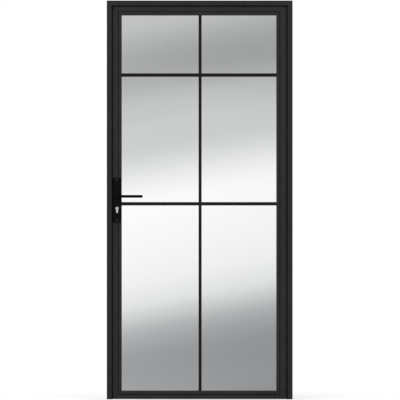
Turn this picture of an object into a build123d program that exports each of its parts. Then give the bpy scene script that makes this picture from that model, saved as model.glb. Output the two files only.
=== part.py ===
from build123d import *
import os

# A glazed single-leaf door in its three-sided frame, built of slim hollow metal sections.
# X runs along the width, Y from the front face to the rear, Z up from the floor.
# The leaf is hung on the right and opens to the rear. The leaf's mid-plane is at Y = 0.

# Overall sizes
frame_width = 1000.0
frame_height = 2146.0
leaf_thickness = 45.0
wall = 2.0

# Frame section, measured inward from its outer face
frame_face = 26.4
jamb_box = 16.0
stop_depth = 13.5
seal_gap = 4.0

# Frame seal
seal_inset = 1.0
seal_base = 2.0
seal_slot_at = 4.0
seal_stem_width = 2.8
seal_stem_depth = 2.6
seal_show = 5.8
seal_slope = 2.0
seal_clear = 0.3
stem_clear = 0.1

# Frame fixings and corner cleats
fixing_radius = 3.5
fixing_inset = 248.0
fixing_spacing = 600.0
cleat_arm = 70.0
fit_clear = 0.2

# Leaf section, measured inward from the leaf's edge
leaf_gap = 4.0
floor_gap = 3.0
lock_stile_width = 60.0
hinge_stile_width = 67.0
top_rail_width = 59.0
bottom_rail_width = 42.2
edge_groove_width = 20.4
edge_groove_depth = 3.0
bead_width = 21.0
bead_thickness = 8.0
bead_slot_at = 6.0
bead_slot_width = 2.4
bead_slot_depth = 2.0
rebate = 9.0
rear_chamfer = 1.5

# Leaf joints
cap_thickness = 2.0
cap_spigot = 8.0
connector_length = 50.0

# Glazing
glass_thickness = 8.0
glass_edge_clear = 2.5
gasket_thickness = 3.5
gasket_width = 7.0
gasket_setback = 1.0
bead_outer_chamfer = 4.5
bead_inner_chamfer = 2.5
bead_nose = 5.0
bead_rib_clear = 0.2
bead_clear = 0.1
block_length = 80.0
block_inset = 200.0

# Glazing bars on both faces of the glass
bar_upright_width = 16.4
bar_cross_width = 18.4
bar_height = 11.0
bar_bevel = 1.4
upright_bar_share = 0.5069
upper_bar_share = 0.841
lower_bar_share = 0.498

# Brush seal at the foot of the leaf
brush_width = 6.0
brush_floor_clear = 0.5
carrier_clear = 0.2
foot_screw_share = 0.604
foot_screw_rise = 12.0

# Screws
small_head_radius = 3.5
small_shank_radius = 2.0
small_screw_length = 14.0
plate_head_radius = 4.6
plate_shank_radius = 2.5
head_clear = 0.05
shank_clear = 0.1

# Handle set
backset = 35.5
spindle_z = 1092.0
spindle_size = 8.0
spindle_reach = 50.0
spindle_clear = 0.05
plate_width = 43.4
plate_height = 239.5
plate_drop = 140.8
plate_thickness = 9.0
plate_rim = 3.0
plate_skin = 3.0
plate_corner = 2.5
plate_edge_chamfer = 0.8
plate_screw_inset = 12.0
boss_wall = 3.0
sleeve_radius = 4.5
sleeve_length = 12.0
handle_hole_radius = 10.0
bush_radius = 11.0
bush_flange_radius = 12.5
bush_flange = 1.5
bush_length = 7.0
neck_radius = 9.0
neck_length = 14.0
neck_back_clear = 2.0
lever_radius = 7.3
lever_reach = 136.9
lever_standoff = 45.0
lever_bend = 14.0
lever_tip_round = 5.0
grub_radius = 2.5
grub_at = 7.0
grub_clear = 0.05
running_clear = 0.05

# Lock case and forend
case_rise = 58.0
case_foot = 18.5
case_thickness = 16.0
case_skin = 1.5
case_end_clear = 0.4
forend_overhang = 37.5
forend_width = 20.0
forend_screw_inset = 12.0
bolt_clear = 0.3

# Follower, latch and deadbolt
follower_radius = 9.0
journal_radius = 7.9
follower_side_clear = 0.2
arm_radius = 16.3
arm_width = 4.0
arm_thickness = 5.0
arm_lean = 30.0
latch_height = 26.0
latch_rise = 18.0
latch_thickness = 12.0
latch_throw = 11.0
latch_length = 25.0
latch_flat = 2.0
tail_height = 11.0
tail_thickness = 8.0
tail_rise = 18.5
tail_end = 33.5
notch_width = 7.0
notch_height = 5.8
deadbolt_height = 26.0
deadbolt_drop = 29.0
deadbolt_thickness = 11.0
deadbolt_length = 18.5
deadbolt_throw = 14.0
bolt_edge = 1.0
talon_length = 5.0
talon_reach = 20.0
talon_lap = 6.0
talon_thickness = 4.0

# Profile cylinder
cylinder_drop = 65.0
cylinder_radius = 8.5
cylinder_height = 33.0
cylinder_stem = 10.0
cylinder_proud = 2.0
cylinder_clear = 0.4
plug_radius = 6.45
cam_gap = 10.0
cam_radius = 8.2
cam_reach = 11.2
cam_tongue = 8.0
cam_clear = 0.3
keyway_width = 3.0
keyway_height = 8.4
keyway_depth = 12.0
cylinder_screw_drop = 20.0
cylinder_screw_length = 39.0

# Strike plate on the lock jamb
strike_thickness = 1.5
strike_width = 26.0
strike_margin = 22.0
strike_clear = 0.8
strike_screw_inset = 9.0

# Hinges
hinge_inset = 226.0
hinge_length = 120.0
barrel_radius = 7.5
barrel_clear = 0.5
barrel_gap = 1.2
barrel_edge = 1.5
pin_radius = 4.0
pin_below = 55.0
pin_above = 50.0
hinge_bush_radius = 6.0
hinge_bush_length = 52.0
hinge_bush_air = 1.0
thrust_clear = 0.1
wing_thickness = 4.0
wing_clear = 1.0
frame_wing_margin = 0.5
leaf_wing_width = 38.0
wing_screw_pitch = 44.0
leaf_screw_columns_shares = (0.3, 0.72)

# One overrun for every cut
overrun = 5.0

# Places worked out from the sizes above
leaf_half = leaf_thickness / 2
front_y = -(leaf_half + seal_gap + stop_depth)
stop_back_y = -(leaf_half + seal_gap)
back_y = leaf_half
leaf_edge_x = frame_width / 2 - jamb_box - leaf_gap
leaf_bottom = floor_gap
leaf_top = frame_height - jamb_box - leaf_gap
sight_left = -leaf_edge_x + lock_stile_width
sight_right = leaf_edge_x - hinge_stile_width
sight_top = leaf_top - top_rail_width
sight_bottom = leaf_bottom + bottom_rail_width
upright_bar_x = sight_left + upright_bar_share * (sight_right - sight_left)
upper_bar_z = sight_bottom + upper_bar_share * (sight_top - sight_bottom)
lower_bar_z = sight_bottom + lower_bar_share * (sight_top - sight_bottom)
bead_seat_y = -leaf_half + bead_thickness
glass_face = glass_thickness / 2
flange_y = glass_face + gasket_thickness
chamber_start = edge_groove_depth + wall
lock_x = -leaf_edge_x + backset
cylinder_z = spindle_z - cylinder_drop
cylinder_bottom = cylinder_z + cylinder_radius - cylinder_height
plate_bottom = spindle_z - plate_drop
plate_top = plate_bottom + plate_height
plate_face = leaf_half + plate_thickness
plate_screw_heights = (plate_bottom + plate_screw_inset, plate_top - plate_screw_inset)
case_front_x = -leaf_edge_x + edge_groove_depth
case_rear_x = -leaf_edge_x + lock_stile_width - rebate - wall - case_end_clear
case_top = spindle_z + case_rise
case_bottom = cylinder_bottom - case_foot
forend_z = (case_bottom - forend_overhang, case_top + forend_overhang)
forend_screw_heights = (forend_z[0] + forend_screw_inset, forend_z[1] - forend_screw_inset)
cylinder_screw_z = cylinder_z - cylinder_screw_drop
latch_z = (spindle_z + latch_rise - latch_height / 2, spindle_z + latch_rise + latch_height / 2)
deadbolt_mid = spindle_z - deadbolt_drop
deadbolt_z = (deadbolt_mid - deadbolt_height / 2, deadbolt_mid + deadbolt_height / 2)
jamb_face_x = frame_width / 2 - jamb_box
hinge_x = leaf_edge_x + leaf_gap / 2
hinge_y = leaf_half + barrel_clear + barrel_radius
hinge_heights = (leaf_bottom + hinge_inset, (leaf_bottom + leaf_top) / 2, leaf_top - hinge_inset)
fixing_top = frame_height - fixing_inset
fixing_heights = (fixing_inset, fixing_inset + fixing_spacing, fixing_top - fixing_spacing, fixing_top)

# Frame seal and its slot as (inward, depth) points
seal_stem_at = jamb_box + seal_slot_at
seal_slot = [
    (seal_stem_at - stem_clear, stop_back_y - wall),
    (seal_stem_at + seal_stem_width + stem_clear, stop_back_y - wall),
    (seal_stem_at + seal_stem_width + stem_clear, stop_back_y),
    (seal_stem_at - stem_clear, stop_back_y),
]
seal_section = [
    (jamb_box + seal_inset, stop_back_y),
    (seal_stem_at, stop_back_y),
    (seal_stem_at, stop_back_y - seal_stem_depth),
    (seal_stem_at + seal_stem_width, stop_back_y - seal_stem_depth),
    (seal_stem_at + seal_stem_width, stop_back_y),
    (frame_face + seal_show, stop_back_y),
    (frame_face + seal_show, -leaf_half - seal_clear),
    (seal_stem_at + seal_stem_width + seal_slope, -leaf_half - seal_clear),
    (seal_stem_at + seal_stem_width, stop_back_y + seal_base),
    (jamb_box + seal_inset, stop_back_y + seal_base),
]


def tube_section(width, y_low, y_high):
    """Outline and chamber of a hollow frame section, as (inward, depth) points."""
    near, far = y_low + wall, y_high - wall
    outline = [(0, y_low), (width, y_low), (width, y_high), (0, y_high)]
    chamber = [(wall, near), (width - wall, near), (width - wall, far), (wall, far)]
    return outline, chamber


def leaf_section(width):
    """Outline and chamber of a stile or rail, from its edge to the sight line of the glass."""
    groove = edge_groove_width / 2
    slot_start = width - bead_width + bead_slot_at
    outline = [
        (0, -leaf_half),
        (width - bead_width, -leaf_half),
        (width - bead_width, bead_seat_y),
        (slot_start, bead_seat_y),
        (slot_start, bead_seat_y + bead_slot_depth),
        (slot_start + bead_slot_width, bead_seat_y + bead_slot_depth),
        (slot_start + bead_slot_width, bead_seat_y),
        (width - rebate, bead_seat_y),
        (width - rebate, flange_y),
        (width, flange_y),
        (width, leaf_half - rear_chamfer),
        (width - rear_chamfer, leaf_half),
        (0, leaf_half),
        (0, groove),
        (edge_groove_depth, groove),
        (edge_groove_depth, -groove),
        (0, -groove),
    ]
    inner_seat = bead_seat_y + bead_slot_depth + wall
    chamber = [
        (chamber_start, -leaf_half + wall),
        (width - bead_width - wall, -leaf_half + wall),
        (width - bead_width - wall, inner_seat),
        (width - rebate - wall, inner_seat),
        (width - rebate - wall, flange_y + wall),
        (width - wall, flange_y + wall),
        (width - wall, leaf_half - wall),
        (chamber_start, leaf_half - wall),
    ]
    return outline, chamber


# Bead outline as (outward from the sight line, depth) points
bead_rib_outer = bead_width - bead_slot_at - bead_rib_clear
bead_rib_inner = bead_width - bead_slot_at - bead_slot_width + bead_rib_clear
bead_section = [
    (0, -leaf_half + bead_inner_chamfer),
    (bead_inner_chamfer, -leaf_half),
    (bead_width - bead_outer_chamfer, -leaf_half),
    (bead_width - bead_clear, -leaf_half + bead_outer_chamfer),
    (bead_width - bead_clear, bead_seat_y),
    (bead_rib_outer, bead_seat_y),
    (bead_rib_outer, bead_seat_y + bead_slot_depth - bead_rib_clear),
    (bead_rib_inner, bead_seat_y + bead_slot_depth - bead_rib_clear),
    (bead_rib_inner, bead_seat_y),
    (bead_nose, bead_seat_y),
    (bead_nose, -flange_y),
    (0, -flange_y),
]


def prism_x(points, x_low, x_high):
    """Prism along X over an outline of (y, z) points."""
    return extrude(Plane.YZ.offset(x_low) * Polygon(*points), amount=x_high - x_low, dir=(1, 0, 0))


def prism_z(points, z_low, z_high):
    """Prism along Z over an outline of (x, y) points."""
    return extrude(Plane.XY.offset(z_low) * Polygon(*points), amount=z_high - z_low, dir=(0, 0, 1))


def through_y(sketch, y_low, y_high):
    """Solid over a sketch drawn in X and Z, from one depth to another."""
    return extrude(Plane.XZ.offset(-y_low) * sketch, amount=y_high - y_low, dir=(0, 1, 0))


def block(x, y, z):
    """Box from a (low, high) pair on each axis."""
    centre = [(low + high) / 2 for low, high in (x, y, z)]
    size = [high - low for low, high in (x, y, z)]
    return Pos(*centre) * Box(*size)


def rod_x(y, z, radius, x_low, x_high):
    """Round bar along X."""
    return Pos((x_low + x_high) / 2, y, z) * Rot(0, 90, 0) * Cylinder(radius, x_high - x_low)


def rod_y(x, z, radius, y_low, y_high):
    """Round bar along Y."""
    return Pos(x, (y_low + y_high) / 2, z) * Rot(90, 0, 0) * Cylinder(radius, y_high - y_low)


def rod_z(x, y, radius, z_low, z_high):
    """Round bar along Z."""
    return Pos(x, y, (z_low + z_high) / 2) * Cylinder(radius, z_high - z_low)


def screw(origin, direction, head_radius, shank_radius, length):
    """Countersunk screw, its flat head at the origin and its shank along the direction."""
    sink = head_radius - shank_radius
    base = (Align.CENTER, Align.CENTER, Align.MIN)
    shape = Cone(head_radius, shank_radius, sink, align=base)
    shape += Pos(0, 0, sink) * Cylinder(shank_radius, length - sink, align=base)
    return Plane(origin=origin, z_dir=direction) * shape


def screw_hole(origin, direction, head_radius, shank_radius, length):
    """Seat for a countersunk screw of these sizes."""
    sizes = (head_radius + head_clear, shank_radius + shank_clear, length + shank_clear)
    return screw(origin, direction, *sizes)


def group(pieces):
    """Separate solids that share one node."""
    return Compound(children=list(pieces))


def frame_upright(outline, side, chamber=None):
    """Frame member up one side (-1 lock, +1 hinge), mitred at the head, and hollow if it has a chamber."""
    outer = side * frame_width / 2
    reach = max(inward for inward, depth in outline) + overrun
    member = prism_z([(outer - side * inward, depth) for inward, depth in outline], 0, frame_height)
    if chamber:
        plan = [(outer - side * inward, depth) for inward, depth in chamber]
        member -= prism_z(plan, -overrun, frame_height + overrun)
    mitre = [
        (outer + side * overrun, -overrun),
        (outer - side * reach, -overrun),
        (outer - side * reach, frame_height - reach),
        (outer + side * overrun, frame_height + overrun),
    ]
    return member & through_y(Polygon(*mitre), front_y - overrun, back_y + overrun)


def frame_crossing(outline, chamber=None):
    """Frame member across the head, mitred at both ends, and hollow if it has a chamber."""
    outer = frame_width / 2 + overrun
    reach = max(inward for inward, depth in outline) + overrun
    member = prism_x([(depth, frame_height - inward) for inward, depth in outline], -outer, outer)
    if chamber:
        lie = [(depth, frame_height - inward) for inward, depth in chamber]
        member -= prism_x(lie, -outer - overrun, outer + overrun)
    mitre = [
        (-outer, frame_height + overrun),
        (outer, frame_height + overrun),
        (frame_width / 2 - reach, frame_height - reach),
        (reach - frame_width / 2, frame_height - reach),
    ]
    return member & through_y(Polygon(*mitre), front_y - overrun, back_y + overrun)


def frame_members(width, y_low, y_high):
    """Hollow lock-side, hinge-side and head members of one frame section."""
    outline, chamber = tube_section(width, y_low, y_high)
    return [frame_upright(outline, side, chamber) for side in (-1, 1)] + [frame_crossing(outline, chamber)]


def corner_cleat(side, y_low, y_high):
    """L-shaped cleat that joins an upright to the head inside their chambers."""
    outer = frame_width / 2
    near = wall + fit_clear
    far = jamb_box - wall - fit_clear
    arms = [(near, near), (cleat_arm, near), (cleat_arm, far)]
    arms += [(far, far), (far, cleat_arm), (near, cleat_arm)]
    outline = [(side * (outer - across), frame_height - down) for across, down in arms]
    return through_y(Polygon(*outline), y_low + near, y_high - near)


def strike_holes(clear, x_low, x_high):
    """Openings for the latch and the deadbolt."""
    bolts = ((latch_z, latch_thickness), (deadbolt_z, deadbolt_thickness))
    return [
        block((x_low, x_high), (-thick / 2 - clear, thick / 2 + clear), (z[0] - clear, z[1] + clear))
        for z, thick in bolts
    ]


def strike_screw_places():
    """Screw places on the strike plate, on its face towards the leaf."""
    low = deadbolt_z[0] - strike_margin + strike_screw_inset
    high = latch_z[1] + strike_margin - strike_screw_inset
    return [(-jamb_face_x + strike_thickness, 0, z) for z in (low, high)]


def small_screws(places, direction, cut=False):
    """Small countersunk screws, or their seats, at a list of places."""
    make = screw_hole if cut else screw
    sizes = (small_head_radius, small_shank_radius, small_screw_length)
    return [make(place, direction, *sizes) for place in places]


def build_frame(nodes):
    """Jambs, head, stops, cleats, seal and strike plate."""
    reach = frame_width / 2 + overrun
    fixings = [rod_x(0, z, fixing_radius, -reach, reach) for z in fixing_heights]
    jamb_lock, jamb_hinge, head = frame_members(jamb_box, stop_back_y, back_y)
    bolt_reach = -jamb_face_x - wall - overrun
    jamb_lock -= fixings + strike_holes(strike_clear, bolt_reach, -jamb_face_x + overrun)
    jamb_lock -= small_screws(strike_screw_places(), (-1, 0, 0), cut=True)
    nodes["jamb_lock"] = jamb_lock
    nodes["jamb_hinge"] = jamb_hinge - fixings - small_screws(frame_wing_screws(), (0, -1, 0), cut=True)
    nodes["frame_head"] = head
    stops = frame_members(frame_face, front_y, stop_back_y)
    slots = [frame_upright(seal_slot, -1), frame_upright(seal_slot, 1), frame_crossing(seal_slot)]
    for name, stop, slot in zip(("stop_lock", "stop_hinge", "stop_head"), stops, slots):
        nodes[name] = stop - slot
    depths = ((front_y, stop_back_y), (stop_back_y, back_y))
    nodes["frame_corner_cleats"] = group(corner_cleat(side, *depth) for side in (-1, 1) for depth in depths)
    seals = [frame_upright(seal_section, -1), frame_upright(seal_section, 1), frame_crossing(seal_section)]
    nodes["frame_seals"] = group(seals)
    strike = block(
        (-jamb_face_x, -jamb_face_x + strike_thickness),
        (-strike_width / 2, strike_width / 2),
        (deadbolt_z[0] - strike_margin, latch_z[1] + strike_margin),
    )
    strike -= strike_holes(strike_clear, -jamb_face_x - overrun, -jamb_face_x + overrun)
    nodes["strike_plate"] = strike - small_screws(strike_screw_places(), (-1, 0, 0), cut=True)
    nodes["strike_screws"] = group(small_screws(strike_screw_places(), (-1, 0, 0)))


def stile_plan(points, side):
    """Plan points of a stile from (inward, depth) points."""
    return [(side * (leaf_edge_x - inward), depth) for inward, depth in points]


def stile(width, side, z_low, z_high):
    """Filled stile and the chamber inside it."""
    outline, chamber = leaf_section(width)
    return [prism_z(stile_plan(points, side), z_low, z_high) for points in (outline, chamber)]


def stile_envelope(width, side):
    """Whole space a stile takes up, with its grooves filled, for coping the rails."""
    points = [
        (0, -leaf_half),
        (width - bead_width, -leaf_half),
        (width - bead_width, bead_seat_y),
        (width - rebate, bead_seat_y),
        (width - rebate, flange_y),
        (width, flange_y),
        (width, leaf_half - rear_chamfer),
        (width - rear_chamfer, leaf_half),
        (0, leaf_half),
    ]
    return prism_z(stile_plan(points, side), leaf_bottom, leaf_top)


def lock_stile_cuts():
    """Openings in the lock stile for the lock case, handle and cylinder."""
    half_case = case_thickness / 2 + fit_clear
    cuts = [
        block(
            (case_front_x - overrun, -leaf_edge_x + chamber_start + overrun),
            (-half_case, half_case),
            (case_bottom - fit_clear, case_top + fit_clear),
        ),
        rod_y(lock_x, spindle_z, handle_hole_radius, -leaf_half - overrun, leaf_half + overrun),
        through_y(cylinder_profile(cylinder_clear), -leaf_half - overrun, leaf_half + overrun),
    ]
    for z in plate_screw_heights:
        cuts.append(rod_y(lock_x, z, plate_shank_radius + fit_clear, -leaf_half - overrun, 0))
        cuts.append(rod_y(lock_x, z, sleeve_radius + fit_clear, 0, leaf_half + overrun))
    cuts += small_screws([(-leaf_edge_x, 0, z) for z in forend_screw_heights], (1, 0, 0), cut=True)
    return cuts


def end_cap(width, side, z_outer, up):
    """Plug that closes one end of a stile; up is +1 at the top end and -1 at the foot."""
    outline, chamber = leaf_section(width)
    plate = [z_outer, z_outer - up * cap_thickness]
    spigot = [plate[1], plate[1] - up * cap_spigot]
    grip = offset(Polygon(*stile_plan(chamber, side)), -fit_clear)
    cap = prism_z(stile_plan(outline, side), min(plate), max(plate))
    return cap + extrude(Plane.XY.offset(min(spigot)) * grip, amount=cap_spigot, dir=(0, 0, 1))


def rail(width, z_edge, down, envelopes):
    """Hollow rail coped between the stiles; down is +1 where the section runs down from its edge."""
    outline, chamber = leaf_section(width)
    solids = []
    for points in (outline, chamber):
        lie = [(depth, z_edge - down * inward) for inward, depth in points]
        solids.append(prism_x(lie, -leaf_edge_x, leaf_edge_x))
    return solids[0] - solids[1] - envelopes


def rail_connectors():
    """Blocks inside the rails' ends, set against the stiles."""
    blocks = []
    inner_seat = bead_seat_y + bead_slot_depth + wall
    for z_edge, down, width in ((leaf_top, 1, top_rail_width), (leaf_bottom, -1, bottom_rail_width)):
        near = z_edge - down * (chamber_start + fit_clear)
        far = z_edge - down * (width - rebate - wall - fit_clear)
        for x, inward in ((sight_left - rebate, 1), (sight_right + rebate, -1)):
            span = sorted((x, x + inward * connector_length))
            depth = (inner_seat + fit_clear, flange_y - fit_clear)
            blocks.append(block(span, depth, sorted((near, far))))
    return group(blocks)


def bead(side):
    """One glazing bead, mitred at both ends, on the left, right, top or bottom of the glass."""
    reach = bead_width - bead_clear
    x, z = (sight_left, sight_right), (sight_bottom, sight_top)
    wide = (x[0] - reach, x[1] + reach)
    tall = (z[0] - reach, z[1] + reach)
    if side in ("left", "right"):
        at, out = (x[0], -1) if side == "left" else (x[1], 1)
        length = prism_z([(at + out * outward, depth) for outward, depth in bead_section], *tall)
        mitre = [(at, z[0]), (at, z[1]), (at + out * reach, tall[1]), (at + out * reach, tall[0])]
    else:
        at, out = (z[0], -1) if side == "bottom" else (z[1], 1)
        length = prism_x([(depth, at + out * outward) for outward, depth in bead_section], *wide)
        mitre = [(x[0], at), (x[1], at), (wide[1], at + out * reach), (wide[0], at + out * reach)]
    corners = [
        block(sorted((bx, cx)), (bead_seat_y, -flange_y), sorted((bz, cz)))
        for bx, cx in ((wide[0], x[0] - bead_nose), (wide[1], x[1] + bead_nose))
        for bz, cz in ((tall[0], z[0] - bead_nose), (tall[1], z[1] + bead_nose))
    ]
    return (length & through_y(Polygon(*mitre), -leaf_half, leaf_half)) - corners


def ring(inset, width, y_low, y_high):
    """Closed rectangular ring around the glass, outward from the sight line."""
    centre = ((sight_left + sight_right) / 2, (sight_bottom + sight_top) / 2)
    size = (sight_right - sight_left, sight_top - sight_bottom)
    sheet = Rectangle(*[side + 2 * (inset + width) for side in size])
    sheet -= Rectangle(*[side + 2 * inset for side in size])
    return through_y(Pos(*centre) * sheet, y_low, y_high)


def setting_blocks():
    """Packers between the edge of the glass and the rebate, two on each side."""
    depth = (-glass_face, glass_face)
    bite = rebate - glass_edge_clear
    blocks = []
    for z in (sight_bottom + block_inset, sight_top - block_inset):
        span = (z - block_length / 2, z + block_length / 2)
        blocks.append(block((sight_left - rebate, sight_left - bite), depth, span))
        blocks.append(block((sight_right + bite, sight_right + rebate), depth, span))
    for x in (sight_left + block_inset, sight_right - block_inset):
        span = (x - block_length / 2, x + block_length / 2)
        blocks.append(block(span, depth, (sight_bottom - rebate, sight_bottom - bite)))
        blocks.append(block(span, depth, (sight_top + bite, sight_top + rebate)))
    return group(blocks)


def bar_outline(width):
    """Bevelled bar on the front face of the glass, as (across, depth) points."""
    half, face = width / 2, glass_face + bar_height
    return [
        (-half, -glass_face),
        (half, -glass_face),
        (half, -face + bar_bevel),
        (half - bar_bevel, -face),
        (bar_bevel - half, -face),
        (-half, -face + bar_bevel),
    ]


def build_bars(nodes):
    """Upright and crosswise glazing bars, the crosswise ones coped to the upright."""
    plan = [(upright_bar_x + across, depth) for across, depth in bar_outline(bar_upright_width)]
    upright = prism_z(plan, sight_bottom + fit_clear, sight_top - fit_clear)
    nodes["bar_front_upright"] = upright
    nodes["bar_rear_upright"] = mirror(upright, about=Plane.XZ)
    crossings = []
    for z in (upper_bar_z, lower_bar_z):
        lie = [(depth, z + across) for across, depth in bar_outline(bar_cross_width)]
        cross = prism_x(lie, sight_left + fit_clear, sight_right - fit_clear) - upright
        crossings += cross.solids()
    nodes["bar_front_crossings"] = group(crossings)
    nodes["bar_rear_crossings"] = group(mirror(piece, about=Plane.XZ) for piece in crossings)


def foot_screw_places():
    """Small screws low on the front of the bottom rail."""
    spread = foot_screw_share * leaf_edge_x
    return [(side * spread, -leaf_half, leaf_bottom + foot_screw_rise) for side in (-1, 1)]


def build_leaf(nodes):
    """Stiles, rails, glass, beads and seals of the leaf."""
    groove = edge_groove_width / 2
    foot_groove = block(
        (-leaf_edge_x - overrun, leaf_edge_x + overrun),
        (-groove, groove),
        (leaf_bottom - overrun, leaf_bottom + edge_groove_depth),
    )
    stiles, envelopes, caps = {}, [], []
    for side, width in ((-1, lock_stile_width), (1, hinge_stile_width)):
        envelopes.append(stile_envelope(width, side))
        solid, hollow = stile(width, side, leaf_bottom + cap_thickness, leaf_top - cap_thickness)
        stiles[side] = solid - hollow - foot_groove
        caps.append(end_cap(width, side, leaf_top, 1))
        caps.append(end_cap(width, side, leaf_bottom, -1) - foot_groove)
    nodes["stile_lock"] = stiles[-1] - lock_stile_cuts()
    nodes["stile_hinge"] = stiles[1] - small_screws(leaf_wing_screws(), (0, -1, 0), cut=True)
    nodes["stile_end_caps"] = group(caps)
    nodes["rail_top"] = rail(top_rail_width, leaf_top, 1, envelopes)
    bottom = rail(bottom_rail_width, leaf_bottom, -1, envelopes)
    nodes["rail_bottom"] = bottom - small_screws(foot_screw_places(), (0, 1, 0), cut=True)
    nodes["rail_connectors"] = rail_connectors()
    nodes["rail_foot_screws"] = group(small_screws(foot_screw_places(), (0, 1, 0)))

    bite = rebate - glass_edge_clear
    pane_z = (sight_bottom - bite, sight_top + bite)
    nodes["glass_pane"] = block((sight_left - bite, sight_right + bite), (-glass_face, glass_face), pane_z)
    nodes["setting_blocks"] = setting_blocks()
    handle_cuts = lock_stile_cuts()
    for name, side in (("lock", "left"), ("hinge", "right"), ("top", "top"), ("bottom", "bottom")):
        nodes[f"bead_{name}"] = bead(side) - handle_cuts if name == "lock" else bead(side)
    nodes["glazing_gasket_front"] = ring(gasket_setback, bead_nose - gasket_setback, -flange_y, -glass_face)
    nodes["glazing_gasket_rear"] = ring(gasket_setback, gasket_width, glass_face, flange_y)

    length = (-leaf_edge_x, leaf_edge_x)
    slot = (-brush_width / 2, brush_width / 2)
    seat = leaf_bottom + edge_groove_depth / 2
    breadth = (carrier_clear - groove, groove - carrier_clear)
    carrier = block(length, breadth, (leaf_bottom, leaf_bottom + edge_groove_depth))
    nodes["brush_carrier"] = carrier - block(length, slot, (leaf_bottom, seat))
    nodes["brush_seal"] = block(length, slot, (brush_floor_clear, seat))
    build_bars(nodes)


def cylinder_profile(grow):
    """Keyhole outline of the lock cylinder, grown all round."""
    half_stem = cylinder_stem / 2
    foot_z = cylinder_bottom + half_stem
    outline = Pos(lock_x, cylinder_z) * Circle(cylinder_radius + grow)
    outline += Pos(lock_x, (cylinder_z + foot_z) / 2) * Rectangle(2 * (half_stem + grow), cylinder_z - foot_z)
    return outline + Pos(lock_x, foot_z) * Circle(half_stem + grow)


def build_cylinder(nodes):
    """Profile cylinder with a plug at each end and a cam between them."""
    end = plate_face + cylinder_proud
    half_gap = cam_gap / 2
    body = through_y(cylinder_profile(0), -end, end)
    body -= rod_y(lock_x, cylinder_z, plug_radius + running_clear, -end, end)
    body -= rod_y(lock_x, cylinder_z, cam_reach + cam_clear, -half_gap, half_gap)
    sizes = (plate_head_radius, plate_shank_radius, cylinder_screw_length)
    place = (-leaf_edge_x, 0, cylinder_screw_z)
    nodes["cylinder_body"] = body - screw_hole(place, (1, 0, 0), *sizes)
    forend_screws = small_screws([(-leaf_edge_x, 0, z) for z in forend_screw_heights], (1, 0, 0))
    nodes["lock_screws"] = group([screw(place, (1, 0, 0), *sizes)] + forend_screws)
    plug = rod_y(lock_x, cylinder_z, plug_radius, -end, -half_gap)
    keyway = Pos(lock_x, cylinder_z) * Rectangle(keyway_width, keyway_height)
    plug -= through_y(keyway, -end, keyway_depth - end)
    nodes["plug_front"] = plug
    nodes["plug_rear"] = mirror(plug, about=Plane.XZ)
    cam_half = half_gap - cam_clear
    cam = rod_y(lock_x, cylinder_z, cam_radius, -cam_half, cam_half)
    tongue = Pos(lock_x, cylinder_z - cam_reach / 2) * Rectangle(cam_tongue, cam_reach)
    disc = rod_y(lock_x, cylinder_z, cam_reach, -cam_half, cam_half)
    nodes["cylinder_cam"] = cam + (through_y(tongue, -cam_half, cam_half) & disc)


def case_space(skin):
    """Lock case outline drawn in by a skin, open to the cover side."""
    half = case_thickness / 2
    return block(
        (case_front_x + skin, case_rear_x - skin),
        (skin - half, half - case_skin),
        (case_bottom + skin, case_top - skin),
    )


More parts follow.
